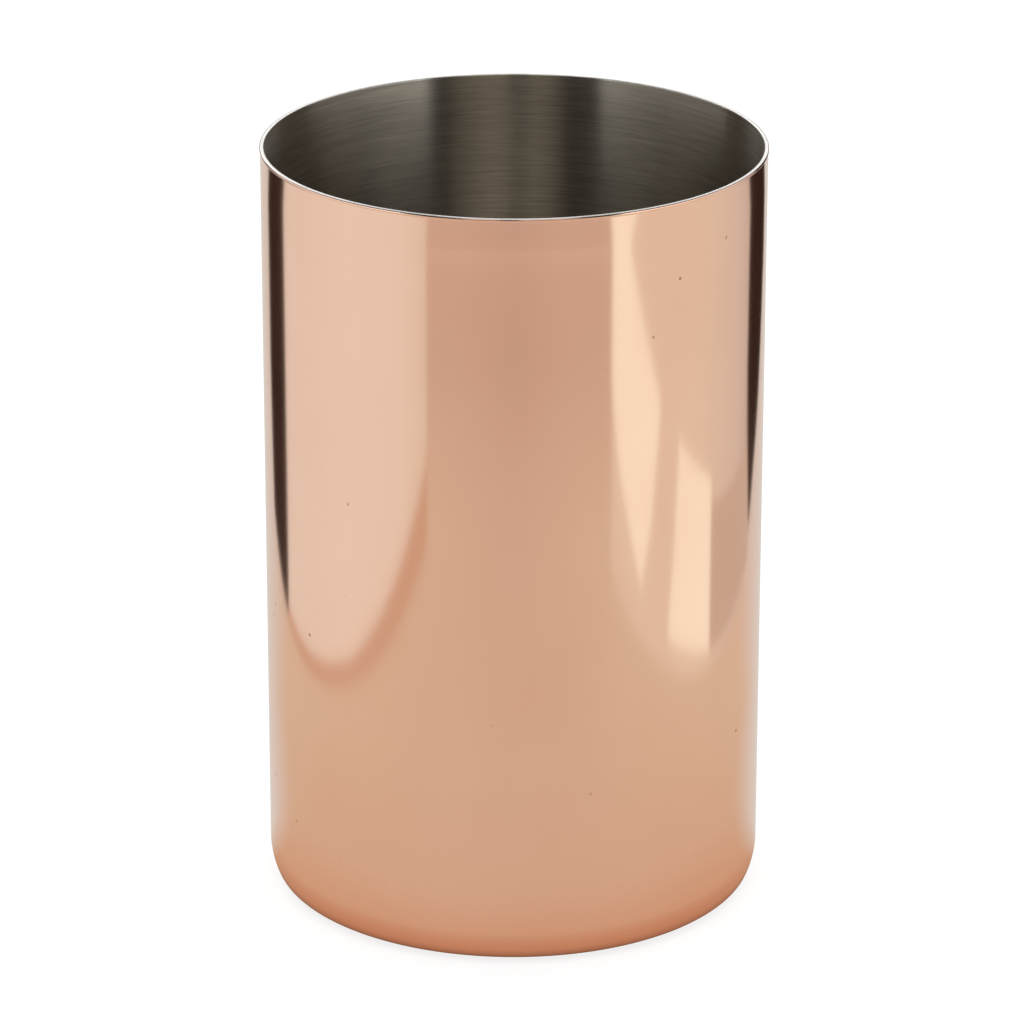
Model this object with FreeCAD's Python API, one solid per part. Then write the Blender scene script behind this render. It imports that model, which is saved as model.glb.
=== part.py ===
import FreeCAD, Part
import math
import os

# Double-walled steel frothing cup: a straight, handle-less, lidless vessel.
# Millimetres, +Z up, axis of the cup on Z, z = 0 under the non-slip pad.

from FreeCAD import Vector

# ---- driving dimensions ----------------------------------------------------
lip_radius = 42.5            # outermost radius, at the rounded lip
cup_height = 131.1           # table to top of the lip
sheet = 0.3                  # both drawn sheets
lip_proud = 0.13             # how far the lip stands out of the wall
pad_proud = 0.3              # how far the pad stands below the foot ring

# ---- outer shell -----------------------------------------------------------
wall_radius = lip_radius - lip_proud
shell_bore = wall_radius - sheet
foot_z = pad_proud
heel_big_radius = 12.28      # soft start of the heel, next to the wall
heel_big_sweep = 22.6        # degrees turned before the tight bend starts
heel_small_radius = 2.2      # tight bend down to the foot ring
foot_hole_radius = 36.0      # the shell's foot is open here
lip_height = 0.28            # height of the proud band at the mouth
lip_flare = 0.3              # height over which the wall flares out to it
lip_outer_round = 0.25       # rounding of the shell's edge, outside
lip_inner_round = 0.12       # rounding of the liner's edge, inside
groove = 0.14                # chamfer on each sheet edge, filled by the weld
weld_crest = 0.04            # the weld stands this far over the sheet edges
edge_z = cup_height - weld_crest

# ---- base plate, weld, plug, adhesive and pad ------------------------------
weld_gap = 0.25              # ring of weld between the plate and the shell
plate_radius = foot_hole_radius - weld_gap
plate_bend = 0.6             # outer bend radius between skirt and disc
recess_depth = 1.0           # foot ring up to the underside of the plate
plate_z = foot_z + recess_depth
plug_small_radius = 1.5      # vent hole at its narrow, inner end
plug_large_radius = 2.2      # and at its countersunk, outer end
plug_stub = 0.5              # plug standing into the air gap
adhesive = 0.15
pad_radius = 34.5
pad_round = 0.4

# ---- inner liner -----------------------------------------------------------
land_length = 6.0            # straight band in the mouth, pressed in the shell
liner_mouth_radius = shell_bore
liner_foot_radius = 39.3     # outer radius where the taper meets the corner
liner_floor_z = 6.3          # underside of the liner's floor
liner_corner = 6.3           # outer corner radius
crown = 0.5                  # the floor rises this much to the middle

os.makedirs("parts", exist_ok=True)


def arc(centre, radius, start, end):
    """Circular arc in the XZ plane, angles in degrees from +X towards +Z."""
    points = []
    for angle in (start, (start + end) / 2, end):
        turn = math.radians(angle)
        x = centre[0] + radius * math.cos(turn)
        z = centre[1] + radius * math.sin(turn)
        points.append(Vector(x, 0, z))
    return Part.Arc(*points).toShape()


def join(*pieces):
    """Chain of edges: arcs as they are, (x, z) pairs as corners between."""
    edges = []
    last = None
    pending = []
    for piece in pieces:
        if isinstance(piece, tuple):
            pending.append(Vector(piece[0], 0, piece[1]))
            continue
        start = piece.firstVertex(True).Point
        for corner in pending + [start]:
            if last is not None and (corner - last).Length > 1e-6:
                edges.append(Part.makeLine(last, corner))
            last = corner
        pending = []
        edges.append(piece)
        last = piece.lastVertex(True).Point
    for corner in pending:
        if last is not None and (corner - last).Length > 1e-6:
            edges.append(Part.makeLine(last, corner))
        last = corner
    return edges


def lathe(*pieces):
    """Solid of revolution around Z from a closed outline in the XZ plane."""
    edges = join(*pieces)
    first = edges[0].firstVertex(True).Point
    last = edges[-1].lastVertex(True).Point
    if (last - first).Length > 1e-6:
        edges.append(Part.makeLine(last, first))
    face = Part.Face(Part.Wire(edges))
    solid = face.revolve(Vector(0, 0, 0), Vector(0, 0, 1), 360)
    if solid.Volume < 0:
        solid.reverse()
    return Part.makeSolid(solid.Shells[0])


def save(shape, node):
    """Write one sub-part, after making sure it is a single valid solid."""
    if not shape.isValid() or len(shape.Solids) != 1:
        raise ValueError("bad solid: " + node)
    shape.exportStep("parts/" + node + ".step")


def outer_shell():
    """Straight wall, two-arc heel and open foot ring, drawn from one blank."""
    sweep = math.radians(heel_big_sweep)
    big_x = wall_radius - heel_big_radius
    step = heel_big_radius - heel_small_radius
    small_x = big_x + step * math.cos(sweep)
    small_z = foot_z + heel_small_radius
    big_z = small_z + step * math.sin(sweep)
    big = (big_x, big_z)
    small = (small_x, small_z)
    proud_z = edge_z - lip_height
    edge = (lip_radius - lip_outer_round, edge_z - lip_outer_round)
    return lathe(
        (shell_bore, edge_z - groove),
        (shell_bore, big_z),
        arc(big, heel_big_radius - sheet, 0, -heel_big_sweep),
        arc(small, heel_small_radius - sheet, -heel_big_sweep, -90),
        (foot_hole_radius, foot_z + sheet),
        (foot_hole_radius, foot_z),
        arc(small, heel_small_radius, -90, -heel_big_sweep),
        arc(big, heel_big_radius, -heel_big_sweep, 0),
        (wall_radius, proud_z - lip_flare),
        (lip_radius, proud_z),
        arc(edge, lip_outer_round, 0, 90),
        (shell_bore + groove, edge_z),
    )


def inner_liner():
    """Straight mouth band, slight taper, rounded corner, crowned floor."""
    taper_top = edge_z - land_length
    corner_z = liner_floor_z + liner_corner
    lean = math.atan2(liner_mouth_radius - liner_foot_radius,
                      taper_top - corner_z)
    lean_deg = math.degrees(lean)
    centre_x = liner_foot_radius - liner_corner * math.cos(lean)
    centre = (centre_x, corner_z)
    inner_corner = liner_corner - sheet
    mouth_bore = liner_mouth_radius - sheet
    edge = (mouth_bore + lip_inner_round, edge_z - lip_inner_round)
    return lathe(
        (liner_mouth_radius, edge_z - groove),
        (liner_mouth_radius, taper_top),
        arc(centre, liner_corner, -lean_deg, -90),
        (0, liner_floor_z + crown),
        (0, liner_floor_z + crown + sheet),
        arc(centre, inner_corner, -90, -lean_deg),
        (mouth_bore, taper_top),
        arc(edge, lip_inner_round, 180, 90),
        (liner_mouth_radius - groove, edge_z),
    )


def rim_weld():
    """Weld that fills the groove between the two sheet edges, ground low."""
    land = groove / 2
    return lathe(
        (shell_bore, edge_z - groove),
        (shell_bore + groove, edge_z),
        (shell_bore + land, cup_height),
        (shell_bore - land, cup_height),
        (shell_bore - groove, edge_z),
    )


def base_plate():
    """Shallow pressed dish that closes the shell, with a vent hole."""
    centre = (plate_radius - plate_bend, plate_z + sheet - plate_bend)
    return lathe(
        (plug_large_radius, plate_z),
        arc(centre, plate_bend - sheet, 90, 0),
        (plate_radius - sheet, foot_z),
        (plate_radius, foot_z),
        arc(centre, plate_bend, 0, 90),
        (plug_small_radius, plate_z + sheet),
    )


def base_weld():
    """Ring of weld between the plate's skirt and the shell's foot."""
    return lathe(
        (plate_radius, foot_z),
        (foot_hole_radius, foot_z),
        (foot_hole_radius, foot_z + sheet),
        (plate_radius, foot_z + sheet),
    )


def vent_plug():
    """Tapered plug that closes the vent hole after welding."""
    top = plate_z + sheet + plug_stub
    return lathe(
        (0, plate_z),
        (plug_large_radius, plate_z),
        (plug_small_radius, plate_z + sheet),
        (plug_small_radius, top - plug_stub / 2),
        (plug_small_radius / 2, top),
        (0, top),
    )


def pad_adhesive():
    """Double-sided disc that holds the pad in the recess."""
    return lathe(
        (0, plate_z - adhesive),
        (pad_radius - pad_round, plate_z - adhesive),
        (pad_radius - pad_round, plate_z),
        (0, plate_z),
    )


def base_pad():
    """Non-slip disc, the only thing that touches the table."""
    top = plate_z - adhesive
    centre = (pad_radius - pad_round, pad_round)
    return lathe(
        (0, 0),
        arc(centre, pad_round, -90, 0),
        (pad_radius, top),
        (0, top),
    )


save(outer_shell(), "outer_shell")
save(inner_liner(), "inner_liner")
save(rim_weld(), "rim_weld")
save(base_plate(), "base_plate")
save(base_weld(), "base_weld")
save(vent_plug(), "vent_plug")
save(pad_adhesive(), "pad_adhesive")
save(base_pad(), "base_pad")
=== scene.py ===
import math

import bpy
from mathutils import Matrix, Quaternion, Vector


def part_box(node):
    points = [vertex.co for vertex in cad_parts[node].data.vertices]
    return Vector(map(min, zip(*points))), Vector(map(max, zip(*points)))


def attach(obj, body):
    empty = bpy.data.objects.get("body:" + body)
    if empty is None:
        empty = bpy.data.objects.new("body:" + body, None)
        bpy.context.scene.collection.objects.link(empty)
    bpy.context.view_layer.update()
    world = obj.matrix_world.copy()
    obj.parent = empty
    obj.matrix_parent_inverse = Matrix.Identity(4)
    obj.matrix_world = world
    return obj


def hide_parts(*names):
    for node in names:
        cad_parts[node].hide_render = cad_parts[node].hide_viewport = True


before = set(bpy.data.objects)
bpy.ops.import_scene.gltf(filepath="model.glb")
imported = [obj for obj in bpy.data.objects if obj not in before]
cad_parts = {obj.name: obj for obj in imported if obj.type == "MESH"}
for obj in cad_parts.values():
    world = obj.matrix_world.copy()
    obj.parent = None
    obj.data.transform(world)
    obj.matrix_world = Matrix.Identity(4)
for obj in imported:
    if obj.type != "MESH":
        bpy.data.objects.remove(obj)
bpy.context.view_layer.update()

MM = 0.001
SEGMENTS = 288               # divisions round the cup's axis
ARC_STEPS = 10               # divisions of a large rounded corner
SMALL_ARC_STEPS = 6          # and of a small one
WALL_ROWS = 24               # divisions along the shell's wall, outside
HIDDEN_ROWS = 12             # and inside, where nothing shows it
LINER_ROWS = 16              # along the liner's wall, and across its floor
PLATE_ROWS = 8               # across the base plate
SHARP_ANGLE = 32             # degrees; a sharper edge isn't smoothed
SAME_POINT = 1e-8            # metres; points this close are one
ON_AXIS = 1e-7               # metres; a point this close to the axis is on it


# ---- sizes, read from the frame where it holds them --------------------------
def reach(node):
    """Radius of a round node: its faceted mesh is narrowest along one axis."""
    low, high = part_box(node)
    return min(-low.x, -low.y, high.x, high.y)


def levels(node):
    """Lowest and highest point of a node."""
    low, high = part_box(node)
    return low.z, high.z


sheet = 0.3 * MM             # both drawn sheets
lip_proud = 0.13 * MM
lip_radius = reach("outer_shell")
wall_radius = lip_radius - lip_proud
shell_bore = wall_radius - sheet
foot_z, edge_z = levels("outer_shell")
top_z = levels("rim_weld")[1]
heel_big_radius = 12.28 * MM
heel_big_sweep = 22.6        # degrees
heel_small_radius = 2.2 * MM
foot_hole_radius = reach("base_weld")
lip_height = 0.28 * MM
lip_flare = 0.3 * MM         # height of the flare under the lip
lip_outer_round = 0.25 * MM
lip_inner_round = 0.12 * MM
groove = 0.14 * MM

land_length = 6.0 * MM
liner_mouth_radius = shell_bore
liner_taper = 2.77 * MM      # the liner narrows this much, mouth to corner
liner_foot_radius = liner_mouth_radius - liner_taper
liner_floor_z = levels("inner_liner")[0]
liner_corner = 6.3 * MM
crown = 0.5 * MM

plate_radius = reach("base_plate")
plate_bend = 0.6 * MM
plate_top = levels("base_plate")[1]
plate_z = plate_top - sheet
weld_dip = 0.04 * MM         # how hollow the base weld is underneath
plug_large_radius = reach("vent_plug")
plug_small_radius = 1.5 * MM
plug_top = levels("vent_plug")[1]

pad_radius = reach("base_pad")
pad_bottom, pad_top = levels("base_pad")
pad_round = 0.4 * MM
pad_groove_radius = 0.86 * pad_radius
pad_groove_depth = 0.25 * MM
pad_groove_half = 1.6 * pad_groove_depth
glue_radius = reach("pad_adhesive")
glue_bottom, glue_top = levels("pad_adhesive")


# ---- lathe meshes --------------------------------------------------------------
def arc(centre, radius, start, end, steps=ARC_STEPS):
    """Points of a circular arc as (r, z), angles in degrees from outward to up."""
    points = []
    for step in range(steps + 1):
        turn = math.radians(start + (end - start) * step / steps)
        points.append((centre[0] + radius * math.cos(turn),
                       centre[1] + radius * math.sin(turn)))
    return points


def rows(start, end, count):
    """Evenly spaced points on a straight stretch, its two ends left out."""
    points = []
    for step in range(1, count):
        part = step / count
        points.append((start[0] + (end[0] - start[0]) * part,
                       start[1] + (end[1] - start[1]) * part))
    return points


def lathe(name, outline):
    """Closed mesh of revolution; outline points on the axis make one vertex."""
    points = []
    for point in outline:
        if not points or math.dist(point, points[-1]) > SAME_POINT:
            points.append(point)
    if math.dist(points[0], points[-1]) < SAME_POINT:
        points.pop()
    vertices = []
    rings = []
    for radius, height in points:
        start = len(vertices)
        if radius < ON_AXIS:
            vertices.append((0, 0, height))
            rings.append([start] * SEGMENTS)
            continue
        for segment in range(SEGMENTS):
            turn = 2 * math.pi * segment / SEGMENTS
            vertices.append((radius * math.cos(turn), radius * math.sin(turn), height))
        rings.append(list(range(start, start + SEGMENTS)))
    faces = []
    for index, ring in enumerate(rings):
        following = rings[(index + 1) % len(rings)]
        for segment in range(SEGMENTS):
            beside = (segment + 1) % SEGMENTS
            corners = [ring[segment], ring[beside], following[beside], following[segment]]
            face = []
            for corner in corners:
                if corner not in face:
                    face.append(corner)
            if len(face) > 2:
                faces.append(face)
    mesh = bpy.data.meshes.new(name)
    mesh.from_pydata(vertices, [], faces)
    mesh.validate()
    for polygon in mesh.polygons:
        polygon.use_smooth = True
    mesh.set_sharp_from_angle(angle=math.radians(SHARP_ANGLE))
    piece = bpy.data.objects.new(name, mesh)
    bpy.context.scene.collection.objects.link(piece)
    return piece


def heel_centres():
    """Centres of the heel's big and small arcs, both tangent to each other."""
    sweep = math.radians(heel_big_sweep)
    step = heel_big_radius - heel_small_radius
    big_x = wall_radius - heel_big_radius
    small_z = foot_z + heel_small_radius
    small = (big_x + step * math.cos(sweep), small_z)
    big = (big_x, small_z + step * math.sin(sweep))
    return big, small


def shell_outline():
    """Outside up, over the lip, inside down to the foot's open edge."""
    big, small = heel_centres()
    proud_z = edge_z - lip_height
    edge = (lip_radius - lip_outer_round, edge_z - lip_outer_round)
    outline = [(foot_hole_radius, foot_z)]
    outline += arc(small, heel_small_radius, -90, -heel_big_sweep)
    outline += arc(big, heel_big_radius, -heel_big_sweep, 0)
    wall_end = (wall_radius, proud_z - lip_flare)
    outline += rows(outline[-1], wall_end, WALL_ROWS)
    for step in range(ARC_STEPS + 1):
        part = step / ARC_STEPS
        swell = (1 - math.cos(math.pi * part)) / 2
        outline.append((wall_radius + lip_proud * swell, wall_end[1] + lip_flare * part))
    outline += arc(edge, lip_outer_round, 0, 90)
    outline += [(shell_bore + groove, edge_z), (shell_bore, edge_z - groove)]
    outline += rows(outline[-1], (shell_bore, big[1]), HIDDEN_ROWS)
    outline += arc(big, heel_big_radius - sheet, 0, -heel_big_sweep)
    outline += arc(small, heel_small_radius - sheet, -heel_big_sweep, -90)
    outline += [(foot_hole_radius, foot_z + sheet)]
    return outline


def liner_outline():
    """Outside down from the mouth, under the floor, inside up to the edge."""
    taper_top = edge_z - land_length
    corner_z = liner_floor_z + liner_corner
    lean = math.degrees(math.atan2(liner_mouth_radius - liner_foot_radius,
                                   taper_top - corner_z))
    centre = (liner_foot_radius - liner_corner * math.cos(math.radians(lean)), corner_z)
    mouth_bore = liner_mouth_radius - sheet
    edge = (mouth_bore + lip_inner_round, edge_z - lip_inner_round)
    outline = [(liner_mouth_radius, edge_z - groove), (liner_mouth_radius, taper_top)]
    outline += arc(centre, liner_corner, -lean, -90)
    outline += [(0, liner_floor_z + crown), (0, liner_floor_z + crown + sheet)]
    floor_edge = (centre[0], liner_floor_z + sheet)
    outline += rows(outline[-1], floor_edge, LINER_ROWS)
    outline += arc(centre, liner_corner - sheet, -90, -lean)
    outline += rows(outline[-1], (mouth_bore, taper_top), LINER_ROWS)
    outline += [(mouth_bore, taper_top)]
    outline += arc(edge, lip_inner_round, 180, 90, SMALL_ARC_STEPS)
    outline += [(liner_mouth_radius - groove, edge_z)]
    return outline


def weld_outline():
    """Filled groove that stands over the two sheet edges, ground to a low round."""
    outline = [(shell_bore, edge_z - groove)]
    for step in range(ARC_STEPS + 1):
        turn = math.pi * step / ARC_STEPS
        outline.append((shell_bore + groove * math.cos(turn),
                        edge_z + (top_z - edge_z) * math.sin(turn)))
    return outline


def plate_outline():
    """Shallow dish: underside out, down the skirt, up and back on top."""
    centre = (plate_radius - plate_bend, plate_top - plate_bend)
    outline = [(plug_large_radius, plate_z)]
    outline += rows(outline[0], (centre[0], plate_z), PLATE_ROWS)
    outline += arc(centre, plate_bend - sheet, 90, 0, SMALL_ARC_STEPS - 1)
    outline += [(plate_radius - sheet, foot_z), (plate_radius, foot_z)]
    outline += arc(centre, plate_bend, 0, 90, SMALL_ARC_STEPS)
    outline += [(plug_small_radius, plate_top)]
    return outline


def base_weld_outline():
    """Ring of weld, slightly hollow on its visible underside."""
    middle = (plate_radius + foot_hole_radius) / 2
    return [(plate_radius, foot_z), (middle, foot_z + weld_dip), (foot_hole_radius, foot_z),
            (foot_hole_radius, foot_z + sheet), (plate_radius, foot_z + sheet)]


def plug_outline():
    """Tapered plug with a short stub above the plate."""
    shoulder = (plate_top + plug_top) / 2
    return [(0, plate_z), (plug_large_radius, plate_z), (plug_small_radius, plate_top),
            (plug_small_radius, shoulder), (plug_small_radius / 2, plug_top), (0, plug_top)]


def glue_outline():
    """Flat adhesive disc."""
    return [(0, glue_bottom), (glue_radius, glue_bottom),
            (glue_radius, glue_top), (0, glue_top)]


def pad_outline():
    """Rounded pad with one shallow moulded ring near its edge."""
    centre = (pad_radius - pad_round, pad_bottom + pad_round)
    groove_top = pad_bottom + pad_groove_depth
    outline = [(0, pad_bottom)]
    outline += [(pad_groove_radius - pad_groove_half, pad_bottom)]
    outline += [(pad_groove_radius - pad_groove_half / 2, groove_top)]
    outline += [(pad_groove_radius + pad_groove_half / 2, groove_top)]
    outline += [(pad_groove_radius + pad_groove_half, pad_bottom)]
    outline += arc(centre, pad_round, -90, 0, SMALL_ARC_STEPS)
    outline += [(pad_radius, pad_top), (0, pad_top)]
    return outline


# ---- materials ------------------------------------------------------------------
class Nodes:
    """Short calls for building one material's node tree."""

    def __init__(self, name):
        self.material = bpy.data.materials.new(name)
        self.material.use_nodes = True
        self.tree = self.material.node_tree
        self.shader = self.tree.nodes["Principled BSDF"]
        self.place = self.add("ShaderNodeTexCoord").outputs["Object"]

    def add(self, kind, **settings):
        node = self.tree.nodes.new(kind)
        for key, value in settings.items():
            setattr(node, key, value)
        return node

    def feed(self, socket, value):
        if isinstance(value, bpy.types.NodeSocket):
            self.tree.links.new(value, socket)
        else:
            socket.default_value = value

    def set(self, **values):
        """Sets or links the shader's sockets; underscores stand for spaces."""
        for key, value in values.items():
            self.feed(self.shader.inputs[key.replace("_", " ")], value)

    def math(self, operation, first, second=0.0, clamp=False):
        node = self.add("ShaderNodeMath", operation=operation, use_clamp=clamp)
        self.feed(node.inputs[0], first)
        self.feed(node.inputs[1], second)
        return node.outputs[0]

    def stretch(self, scale):
        """Object coordinates, each axis multiplied by its own scale."""
        node = self.add("ShaderNodeVectorMath", operation="MULTIPLY")
        self.feed(node.inputs[0], self.place)
        node.inputs[1].default_value = scale
        return node.outputs[0]

    def noise(self, scale, detail=3.0, rough=0.5):
        node = self.add("ShaderNodeTexNoise")
        self.feed(node.inputs["Vector"], self.stretch(scale))
        node.inputs["Scale"].default_value = 1.0
        node.inputs["Detail"].default_value = detail
        node.inputs["Roughness"].default_value = rough
        return node.outputs["Fac"]

    def dots(self, scale, size):
        """Mask of small round dots, one in some of the cells."""
        node = self.add("ShaderNodeTexVoronoi", feature="F1")
        self.feed(node.inputs["Vector"], self.stretch(scale))
        node.inputs["Scale"].default_value = 1.0
        return self.span(node.outputs["Distance"], size, size * 0.5)

    def span(self, value, low, high, out_low=0.0, out_high=1.0):
        """Maps low..high to out_low..out_high, clamped."""
        node = self.add("ShaderNodeMapRange")
        self.feed(node.inputs["Value"], value)
        node.inputs["From Min"].default_value = low
        node.inputs["From Max"].default_value = high
        node.inputs["To Min"].default_value = out_low
        node.inputs["To Max"].default_value = out_high
        return node.outputs["Result"]

    def axis(self, letter):
        """One of the object coordinates, in metres."""
        node = self.add("ShaderNodeSeparateXYZ")
        self.feed(node.inputs[0], self.place)
        return node.outputs[letter]

    def ramp(self, value, stops):
        """Colour ramp through (value, colour) stops, at least two of them."""
        node = self.add("ShaderNodeValToRGB")
        self.feed(node.inputs["Fac"], value)
        elements = node.color_ramp.elements
        for index, (position, colour) in enumerate(stops):
            stop = elements[index] if index < 2 else elements.new(position)
            stop.position = position
            stop.color = (*colour, 1)
        return node.outputs["Color"]

    def mix(self, amount, first, second, blend="MIX"):
        """Colour mix of two RGB triples or colour sockets."""
        node = self.add("ShaderNodeMix", data_type="RGBA", blend_type=blend)
        self.feed(node.inputs["Factor"], amount)
        for socket, value in ((node.inputs[6], first), (node.inputs[7], second)):
            self.feed(socket, (*value, 1) if isinstance(value, tuple) else value)
        return node.outputs[2]

    def bump(self, height, distance, strength=1.0, under=None):
        node = self.add("ShaderNodeBump")
        self.feed(node.inputs["Height"], height)
        node.inputs["Distance"].default_value = distance
        node.inputs["Strength"].default_value = strength
        if under is not None:
            self.feed(node.inputs["Normal"], under)
        return node.outputs["Normal"]

    def glow(self, colour):
        """Puts plain emission in the place of the shader."""
        self.tree.nodes.remove(self.shader)
        emission = self.add("ShaderNodeEmission")
        self.feed(emission.inputs["Color"], colour)
        self.feed(self.tree.nodes["Material Output"].inputs["Surface"], emission.outputs[0])
        return self.material


def copper_plating():
    """Mirror-polished copper: hoop lines, grain, specks, scuffs, edge worn to steel."""
    make = Nodes("copper_plating")
    cloud = make.noise((38, 38, 30), 4)
    scuff_place = make.noise((48, 48, 70), 2)
    scuff_lines = make.noise((420, 420, 1500), 4, 0.7)
    low_on_wall = make.span(make.axis("Z"), 50 * MM, 6 * MM)
    scuffs = make.math("MULTIPLY", make.span(scuff_place, 0.54, 0.66),
                       make.span(scuff_lines, 0.60, 0.72))
    scuffs = make.math("MULTIPLY", scuffs, low_on_wall)
    specks = make.math("MULTIPLY", make.dots((150, 150, 150), 0.060),
                       make.span(make.noise((45, 45, 45), 1), 0.52, 0.58))
    edge_wear = make.span(make.axis("Z"), edge_z - 0.09 * MM, edge_z - 0.04 * MM)
    copper = (0.965, 0.650, 0.545)
    deep_copper = (0.945, 0.622, 0.512)
    scuffed = (0.60, 0.33, 0.22)
    speck = (0.30, 0.13, 0.08)
    bare_edge = (0.95, 0.92, 0.90)
    tone = make.mix(make.span(cloud, 0.35, 0.68), copper, deep_copper)
    tone = make.mix(make.math("MULTIPLY", scuffs, 0.22), tone, scuffed)
    tone = make.mix(make.math("MULTIPLY", specks, 0.75), tone, speck)
    tone = make.mix(edge_wear, tone, bare_edge)
    hoops = make.noise((9, 9, 5200), 2)
    grain = make.noise((5200, 5200, 5200), 1)
    rough = make.span(cloud, 0.3, 0.7, 0.085, 0.110)
    rough = make.math("ADD", rough, make.math("MULTIPLY", scuffs, 0.10))
    rough = make.math("ADD", rough, make.math("MULTIPLY", grain, 0.03))
    normal = make.bump(hoops, 0.0010 * MM, 0.5)
    normal = make.bump(grain, 0.0014 * MM, 0.5, normal)
    make.set(Base_Color=tone, Metallic=1.0, Roughness=rough, Normal=normal)
    return make.material


def brushed_steel():
    """Bare steel brushed round the cup: long hoop scratches, polished at the edge."""
    make = Nodes("brushed_steel")
    fine = make.noise((130, 130, 8200), 4, 0.65)
    broad = make.noise((45, 45, 2100), 3, 0.55)
    cloud = make.noise((30, 30, 22), 3)
    lines = make.math("ADD", make.math("MULTIPLY", fine, 0.7), make.math("MULTIPLY", broad, 0.3))
    edge_wear = make.span(make.axis("Z"), edge_z - 0.30 * MM, edge_z - 0.05 * MM)
    scratch = (0.44, 0.405, 0.355)
    ridge = (0.72, 0.67, 0.595)
    stain = (0.50, 0.46, 0.40)
    polished_edge = (0.95, 0.93, 0.90)
    tone = make.mix(make.span(lines, 0.36, 0.64), scratch, ridge)
    tone = make.mix(make.span(cloud, 0.40, 0.75, 0.0, 0.3), tone, stain)
    tone = make.mix(edge_wear, tone, polished_edge)
    rough = make.span(lines, 0.3, 0.7, 0.34, 0.28)
    rough = make.math("SUBTRACT", rough, make.math("MULTIPLY", edge_wear, 0.10))
    tangent = make.add("ShaderNodeTangent", direction_type="RADIAL", axis="Z")
    normal = make.bump(lines, 0.004 * MM, 0.55)
    make.set(Base_Color=tone, Metallic=1.0, Roughness=rough, Normal=normal,
             Tangent=tangent.outputs[0], Anisotropic=1.0, Anisotropic_Rotation=0.25)
    return make.material


def polished_steel():
    """Ground and polished weld at the lip."""
    make = Nodes("polished_steel")
    cloud = make.noise((400, 400, 400), 3)
    tone = make.mix(cloud, (0.92, 0.90, 0.87), (0.97, 0.95, 0.93))
    make.set(Base_Color=tone, Metallic=1.0, Roughness=make.span(cloud, 0.3, 0.7, 0.16, 0.26),
             Normal=make.bump(cloud, 0.002 * MM, 0.4))
    return make.material


def satin_steel():
    """Pressed base plate: even fine grain, brighter on its bends."""
    make = Nodes("satin_steel")
    grain = make.noise((3000, 3000, 3000), 2)
    cloud = make.noise((70, 70, 70), 3)
    tone = make.mix(cloud, (0.50, 0.48, 0.45), (0.66, 0.64, 0.61))
    bend = make.span(make.axis("Z"), foot_z + 0.5 * MM, foot_z)
    tone = make.mix(bend, tone, (0.76, 0.74, 0.71))
    make.set(Base_Color=tone, Metallic=1.0, Roughness=make.span(grain, 0.3, 0.7, 0.30, 0.42),
             Normal=make.bump(grain, 0.003 * MM, 0.5))
    return make.material


def weld_metal():
    """Unground weld: small ripples and a heat-tinted tone."""
    make = Nodes("weld_metal")
    ripple = make.noise((1400, 1400, 600), 3)
    tone = make.mix(make.span(ripple, 0.35, 0.65), (0.36, 0.31, 0.26), (0.60, 0.55, 0.48))
    make.set(Base_Color=tone, Metallic=1.0, Roughness=make.span(ripple, 0.3, 0.7, 0.34, 0.52),
             Normal=make.bump(ripple, 0.04 * MM, 0.8))
    return make.material


def plug_steel():
    """Turned steel plug with concentric tool marks."""
    make = Nodes("plug_steel")
    mark_rate = 60000            # radians of the sine in a metre of radius
    across = make.math("POWER", make.axis("X"), 2)
    along = make.math("POWER", make.axis("Y"), 2)
    radius = make.math("SQRT", make.math("ADD", across, along))
    marks = make.math("SINE", make.math("MULTIPLY", radius, mark_rate))
    tone = make.mix(make.span(marks, -1, 1), (0.52, 0.50, 0.47), (0.62, 0.60, 0.57))
    make.set(Base_Color=tone, Metallic=1.0, Roughness=make.span(marks, -1, 1, 0.30, 0.40),
             Normal=make.bump(marks, 0.003 * MM, 0.5))
    return make.material


def adhesive_film():
    """Off-white double-sided film with a faint fibre."""
    make = Nodes("adhesive")
    fibre = make.noise((900, 200, 900), 4)
    tone = make.mix(fibre, (0.80, 0.78, 0.72), (0.90, 0.88, 0.83))
    make.set(Base_Color=tone, Roughness=make.span(fibre, 0.3, 0.7, 0.55, 0.75),
             Normal=make.bump(fibre, 0.02 * MM, 0.5))
    return make.material


def pad_rubber():
    """Black non-slip rubber: moulded grain, dusty, rubbed pale where it stands."""
    make = Nodes("pad_rubber")
    grain = make.noise((2600, 2600, 2600), 3)
    dust = make.noise((90, 90, 90), 4)
    black = (0.022, 0.022, 0.024)
    dusty = (0.060, 0.058, 0.055)
    pale = (0.085, 0.083, 0.080)
    tone = make.mix(make.span(dust, 0.45, 0.75, 0.0, 0.6), black, dusty)
    rubbed = make.span(make.axis("Z"), pad_bottom + 0.15 * MM, pad_bottom, 0.0, 0.25)
    tone = make.mix(rubbed, tone, pale)
    make.set(Base_Color=tone, Roughness=make.span(grain, 0.3, 0.7, 0.62, 0.82),
             Normal=make.bump(grain, 0.04 * MM, 0.7))
    return make.material


# ---- pieces ---------------------------------------------------------------------
def stand_for(node, outline, material):
    """Makes the detailed mesh that takes a CAD node's place."""
    piece = lathe("visual_" + node, outline)
    piece.data.materials.append(material)
    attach(piece, "root")
    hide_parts(node)
    return piece


stand_for("outer_shell", shell_outline(), copper_plating())
stand_for("inner_liner", liner_outline(), brushed_steel())
stand_for("rim_weld", weld_outline(), polished_steel())
stand_for("base_plate", plate_outline(), satin_steel())
stand_for("base_weld", base_weld_outline(), weld_metal())
stand_for("vent_plug", plug_outline(), plug_steel())
stand_for("pad_adhesive", glue_outline(), adhesive_film())
stand_for("base_pad", pad_outline(), pad_rubber())


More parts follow.
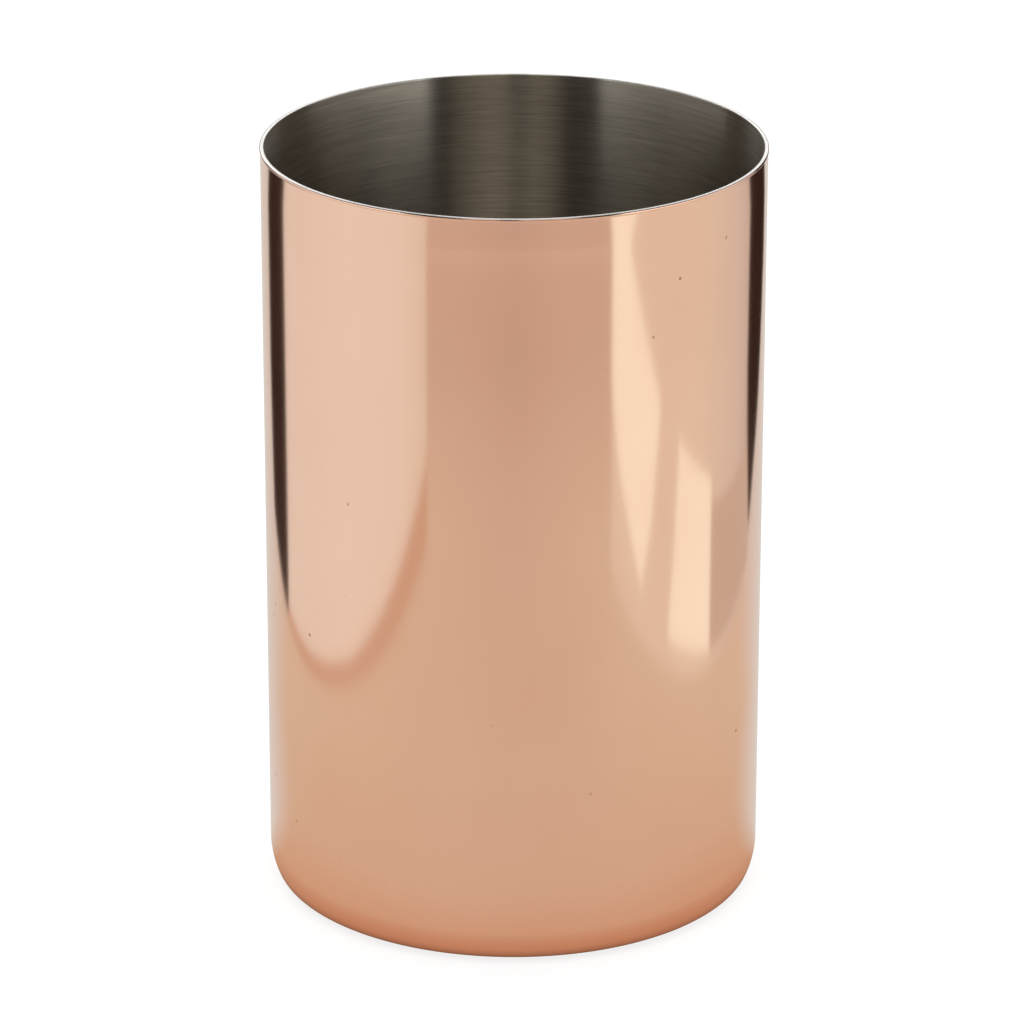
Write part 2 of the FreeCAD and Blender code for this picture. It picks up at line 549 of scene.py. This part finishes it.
# ---- studio ---------------------------------------------------------------------
def card_glow():
    """Emission that takes its colour from the card's own corners."""
    make = Nodes("card_glow")
    tint = make.add("ShaderNodeAttribute", attribute_name="tint")
    return make.glow(tint.outputs["Color"])


CARD_GLOW = card_glow()


def flat_mesh(name, corners, material, faces=None):
    """Staging mesh; without faces of its own it is one face over all its corners."""
    mesh = bpy.data.meshes.new(name)
    mesh.from_pydata(corners, [], faces or [list(range(len(corners)))])
    mesh.materials.append(material)
    card = bpy.data.objects.new(name, mesh)
    bpy.context.scene.collection.objects.link(card)
    return card


def square(half, height):
    """Corners of a level square centred on the cup's axis."""
    return [(-half, -half, height), (half, -half, height),
            (half, half, height), (-half, half, height)]


def reflect_only(card):
    """The card shows in the metal and nowhere else."""
    card.visible_camera = False
    card.visible_diffuse = False
    card.visible_shadow = False
    card.visible_transmission = False


def glowing_card(name, corners, colours, faces=None):
    """Card with one colour per corner, seen in the metal and nowhere else."""
    card = flat_mesh(name, corners, CARD_GLOW, faces)
    tint = card.data.color_attributes.new("tint", "FLOAT_COLOR", "POINT")
    for index, colour in enumerate(colours):
        tint.data[index].color = (*colour, 1)
    reflect_only(card)


def upright(name, posts, low, high):
    """Vertical card through plan points; each post is (x, y, colour)."""
    corners = []
    colours = []
    faces = []
    for index, (x, y, colour) in enumerate(posts):
        corners += [(x, y, low), (x, y, high)]
        colours += [colour, colour]
        if index:
            last = 2 * index
            faces.append([last - 2, last, last + 1, last - 1])
    glowing_card(name, corners, colours, faces)


def plain_upright(name, plan, colour, low, high):
    """Vertical card of one colour; its plan points are (x, y)."""
    upright(name, [(x, y, colour) for x, y in plan], low, high)


DARK = (0.030, 0.015, 0.0105)
FRONT_GLOW = (0.90, 0.79, 0.64)
BACK_GLOW = (1.20, 1.20, 1.18)
CEILING_GLOW = (0.85, 0.83, 0.80)
PATCH_GLOW = (1.00, 1.07, 0.93)
STRIP_GLOW = (1.10, 1.08, 1.02)
PANEL_GLOW = (0.78, 0.74, 0.62)
PANEL_SPLIT = 0.135          # the panels change their width and tint at this height
STRIP_TOP = 0.165            # brightest strip, just over the level of the lip
PANEL_TOP = 0.24             # top of the two side panels
GAP_TOP = 0.62               # top of the dark gaps behind them
FRONT_Y = -0.62              # plane of the two cards over the camera
FRONT_LOW = 0.36
FRONT_HIGH = 1.1
BACK_Y = 0.60                # plane of the card behind the cup
BACK_LOW = 0.25
BACK_HIGH = 0.9
BACK_HALF = 0.80

# Both side panels have three levels: the lower one, which the wall reflects, and
# the strip and the upper one, which the inside of the cup reflects.
upright("left_card", [(-0.140, -0.190, (0.76, 0.74, 0.62)), (-0.140, -0.130, (0.82, 0.82, 0.73)),
                      (-0.140, -0.050, (0.84, 0.84, 0.75)), (-0.140, 0.064, (0.80, 0.80, 0.73))],
        0.0, PANEL_SPLIT)
upright("left_strip", [(-0.139, -0.141, (2.60, 2.53, 2.40)), (-0.139, -0.060, STRIP_GLOW),
                       (-0.139, 0.020, STRIP_GLOW), (-0.142, 0.100, (1.30, 1.27, 1.20))],
        PANEL_SPLIT, STRIP_TOP)
upright("upper_left_card", [(-0.140, -0.141, (0.75, 0.74, 0.70)), (-0.140, -0.060, (0.44, 0.43, 0.41)),
                            (-0.140, 0.020, (0.34, 0.33, 0.31)), (-0.143, 0.100, (0.36, 0.35, 0.33))],
        STRIP_TOP, PANEL_TOP)
plain_upright("left_gap", [(-0.142, 0.060), (-0.144, 0.110), (-0.145, 0.145), (-0.186, 0.235)],
              DARK, 0.0, GAP_TOP)
plain_upright("upper_left_gap", [(-0.186, 0.235), (-0.420, 0.580)], DARK, PANEL_SPLIT, GAP_TOP)
upright("right_card", [(0.143, -0.165, PANEL_GLOW), (0.144, -0.030, PANEL_GLOW),
                       (0.146, 0.010, (0.73, 0.71, 0.60)), (0.148, 0.052, (0.68, 0.65, 0.58)),
                       (0.1505, 0.095, (0.59, 0.55, 0.49))], 0.0, PANEL_SPLIT)
upright("right_strip", [(0.142, -0.149, (3.70, 3.62, 3.45)), (0.143, -0.085, (2.10, 2.05, 1.95)),
                        (0.145, -0.010, (1.30, 1.27, 1.20)), (0.149, 0.088, (0.80, 0.78, 0.74))],
        PANEL_SPLIT, STRIP_TOP)
upright("upper_right_card", [(0.143, -0.149, (0.80, 0.78, 0.75)), (0.144, -0.085, (0.60, 0.59, 0.56)),
                             (0.146, -0.010, (0.42, 0.41, 0.39)), (0.150, 0.088, (0.30, 0.29, 0.27))],
        STRIP_TOP, PANEL_TOP)
plain_upright("right_gap", [(0.153, 0.080), (0.157, 0.128), (0.161, 0.165), (0.159, 0.215),
                            (0.168, 0.330)], DARK, 0.0, GAP_TOP)
plain_upright("upper_right_gap", [(0.168, 0.330), (0.420, 0.580)], DARK, PANEL_SPLIT, GAP_TOP)
plain_upright("back_card", [(-BACK_HALF, BACK_Y), (BACK_HALF, BACK_Y)], BACK_GLOW,
              BACK_LOW, BACK_HIGH)
plain_upright("front_left_card", [(-0.27, FRONT_Y), (-0.080, FRONT_Y)], FRONT_GLOW,
              FRONT_LOW, FRONT_HIGH)
plain_upright("front_right_card", [(0.030, FRONT_Y), (0.36, FRONT_Y)], FRONT_GLOW,
              FRONT_LOW, FRONT_HIGH)


def light_patch(name, outline, plane_x, colour):
    """Patch of its own colour in front of a side card, its outline as (y, z) pairs."""
    corners = [(plane_x, y, z) for y, z in outline]
    glowing_card(name, corners, [colour] * len(corners))


light_patch("tall_patch", [(-0.165, 0.110), (-0.165, 0.040), (-0.147, 0.027), (-0.104, 0.012),
                           (-0.088, 0.028), (-0.076, 0.054), (-0.109, 0.068), (-0.128, 0.076),
                           (-0.120, 0.110)], 0.1415, PATCH_GLOW)
light_patch("low_patch", [(-0.050, 0.048), (-0.056, 0.025), (-0.064, 0.007), (-0.001, 0.005),
                          (-0.001, 0.040)], 0.1425, PATCH_GLOW)
light_patch("rear_corner", [(0.092, 0.0), (0.112, 0.0), (0.092, 0.050)], 0.150, (0.46, 0.40, 0.33))
light_patch("left_skirt", [(-0.190, 0.0), (0.064, 0.0), (0.064, 0.004), (-0.050, 0.005),
                           (-0.100, 0.009), (-0.190, 0.018)], -0.1395, (0.62, 0.44, 0.31))
light_patch("right_skirt", [(-0.001, 0.004), (0.110, 0.004), (0.095, 0.030), (-0.001, 0.034)],
            0.1455, (0.60, 0.53, 0.44))


def overhead_card():
    """Dim ceiling square that the cup's floor reflects."""
    corners = square(0.35, 1.5)
    glowing_card("overhead_card", corners, [CEILING_GLOW] * len(corners))


overhead_card()

# What the wall reflects of the table: metres from the cup's axis, and the tone there. The dark rings
# by the cup are a painted contact shadow, and the warm tint further out is a painted reflection of the
# copper in the table.
TABLE_SHADOW_AND_REFLECTION_RINGS = [(0.0395, (0.12, 0.055, 0.030)), (0.0425, (0.55, 0.31, 0.19)),
               (0.0500, (0.64, 0.46, 0.32)), (0.0700, (0.665, 0.555, 0.425)),
               (0.1200, (0.675, 0.585, 0.465)), (0.2400, (0.66, 0.57, 0.46)),
               (0.3200, (0.615, 0.51, 0.42)), (0.3540, (0.585, 0.48, 0.40)),
               (0.3930, (0.595, 0.485, 0.395)), (0.4260, (0.56, 0.43, 0.345)),
               (0.4460, (0.70, 0.61, 0.51)), (0.5600, (0.72, 0.63, 0.53)),
               (0.7500, (0.30, 0.20, 0.15))]
TABLE_SIDES = (1.05, 1.08, 1.06)
TABLE_REAR = (0.71, 0.70, 0.65)


def bounce_floor():
    """What the metal sees of the table: warm with a painted reflection of the copper, dark by the cup
    with a painted contact shadow, paler behind it.
    """
    make = Nodes("bounce_floor")
    distance = make.add("ShaderNodeVectorMath", operation="LENGTH")
    make.feed(distance.inputs[0], make.place)
    away = distance.outputs["Value"]
    aside = make.span(make.math("ABSOLUTE", make.axis("X")), 0.02, 0.14)
    bearing = make.math("DIVIDE", make.axis("Y"), away)
    near = make.span(away, 0.110, 0.060, 0.0, 0.40)
    behind = make.span(make.math("ADD", bearing, near), 0.40, 0.70)
    # The ring ramp paints the contact shadow by the cup and the copper's warm reflection in the table.
    tone = make.mix(aside, make.ramp(away, TABLE_SHADOW_AND_REFLECTION_RINGS), TABLE_SIDES, "MULTIPLY")
    tone = make.mix(behind, tone, TABLE_REAR)
    reflect_only(flat_mesh("bounce_floor", square(2.5, 0), make.glow(tone)))


bounce_floor()


def pale_floor():
    """Floor that the camera sees: mostly its own glow, so that shadows stay faint."""
    material = bpy.data.materials.new("pale_floor")
    material.use_nodes = True
    shader = material.node_tree.nodes["Principled BSDF"]
    shader.inputs["Base Color"].default_value = (0.16, 0.16, 0.16, 1)
    shader.inputs["Roughness"].default_value = 0.9
    shader.inputs["Specular IOR Level"].default_value = 0.0
    shader.inputs["Emission Color"].default_value = (1, 1, 1, 1)
    shader.inputs["Emission Strength"].default_value = 0.84
    drop = -0.1 * MM
    floor = flat_mesh("floor", square(4.0, drop), material)
    floor.visible_glossy = False


pale_floor()


def soft_light(name, place, aim, width, watts):
    """Square area light that lights the floor and stays out of reflections."""
    data = bpy.data.lights.new(name, "AREA")
    data.shape = "SQUARE"
    data.size = width
    data.energy = watts
    light = bpy.data.objects.new(name, data)
    light.location = place
    light.rotation_mode = "QUATERNION"
    light.rotation_quaternion = (Vector(aim) - Vector(place)).to_track_quat("-Z", "Y")
    light.visible_glossy = False
    bpy.context.scene.collection.objects.link(light)


soft_light("top_light", place=(0.0, 0.1, 1.6), aim=(0, 0, 0), width=2.4, watts=66)


def dim_world():
    """Faint warm light from all round."""
    world = bpy.data.worlds.new("studio")
    world.use_nodes = True
    background = world.node_tree.nodes["Background"]
    background.inputs["Color"].default_value = (1.0, 0.98, 0.95, 1)
    background.inputs["Strength"].default_value = 0.07
    bpy.context.scene.world = world


dim_world()
bpy.context.scene.view_settings.view_transform = "Standard"

# ---- camera ---------------------------------------------------------------------
CAMERA_ELEVATION = 20.64     # degrees above the table
CAMERA_DISTANCE = 0.905      # metres
CAMERA_LENS = 186.0          # millimetres
CAMERA_SENSOR = 36.0         # millimetres wide
AIM_ASIDE = 0.28 * MM        # the cup stands this little off the frame's middle
AIM_BELOW = 0.34 * MM
CAMERA_ROLL = 0.076          # degrees, the cup leans this little to the right


def long_lens_camera():
    """Distant camera that looks down a little into the mouth."""
    data = bpy.data.cameras.new("camera")
    data.lens = CAMERA_LENS
    data.sensor_width = CAMERA_SENSOR
    data.clip_start = 0.05
    data.clip_end = 20.0
    camera = bpy.data.objects.new("camera", data)
    bpy.context.scene.collection.objects.link(camera)
    tilt = math.radians(CAMERA_ELEVATION)
    middle = (foot_z + top_z) / 2
    aim = Vector((-AIM_ASIDE, 0, middle - AIM_BELOW))
    back = Vector((0, -math.cos(tilt), math.sin(tilt)))
    camera.location = aim + back * CAMERA_DISTANCE
    camera.rotation_mode = "QUATERNION"
    roll = Quaternion((0, 0, 1), math.radians(CAMERA_ROLL))
    camera.rotation_quaternion = (-back).to_track_quat("-Z", "Y") @ roll
    bpy.context.scene.camera = camera


long_lens_camera()
